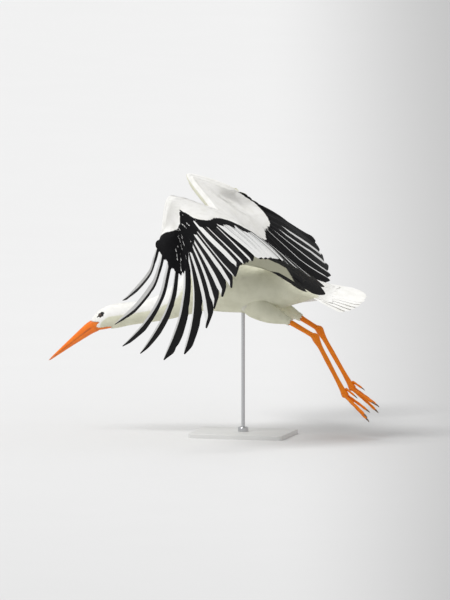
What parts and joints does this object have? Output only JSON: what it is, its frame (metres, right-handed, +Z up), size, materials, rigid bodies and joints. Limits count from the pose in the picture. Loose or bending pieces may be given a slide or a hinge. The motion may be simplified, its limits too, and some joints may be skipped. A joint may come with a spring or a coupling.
{
  "type": "white stork in flight",
  "caption": "Life-size model of a flying white stork, neck out and legs trailing, wings raised with the near one drooping, on a rod and flat base.",
  "frame": {"origin": "centre of the underside of the stand's base plate", "axes": "+Z up out of the plate; the bird flies towards -X, its left wing on the -Y side and its right wing on the +Y side"},
  "size_m": [1.0437, 1.3305, 0.7814],
  "materials": {
    "white_plumage": "soft matt",
    "wing_feathers": "soft matt",
    "flight_feathers": "satin",
    "bill": "smooth, slightly waxy",
    "leg_skin": "scaled, dull",
    "claw": "smooth",
    "eye": "wet gloss",
    "stand_plate": "pale lacquer",
    "stand_steel": "brushed"
  },
  "bodies": {
    "root": {"bill_lower": "bill", "bill_upper": "bill", "claw_1_left": "claw", "claw_1_right": "claw", "claw_2_left": "claw", "claw_2_right": "claw", "claw_3_left": "claw", "claw_3_right": "claw", "claw_4_left": "claw", "claw_4_right": "claw", "eye_left": "eye", "eye_right": "eye", "head": "white_plumage", "neck_lower": "white_plumage", "neck_middle": "white_plumage", "neck_upper": "white_plumage", "shank_left": "leg_skin", "shank_right": "leg_skin", "stand_base": "stand_plate", "stand_collar": "stand_steel", "stand_rod": "stand_steel", "tail": "white_plumage", "tarsus_left": "leg_skin", "tarsus_right": "leg_skin", "thigh_left": "white_plumage", "thigh_right": "white_plumage", "toe_1_left": "leg_skin", "toe_1_right": "leg_skin", "toe_2_left": "leg_skin", "toe_2_right": "leg_skin", "toe_3_left": "leg_skin", "toe_3_right": "leg_skin", "toe_4_left": "leg_skin", "toe_4_right": "leg_skin", "trunk": "white_plumage", "wing_left_forearm": "wing_feathers", "wing_left_hand": "flight_feathers", "wing_left_upper_arm": "wing_feathers", "wing_right_forearm": "wing_feathers", "wing_right_hand": "flight_feathers", "wing_right_upper_arm": "wing_feathers"}
  },
  "joints": []
}
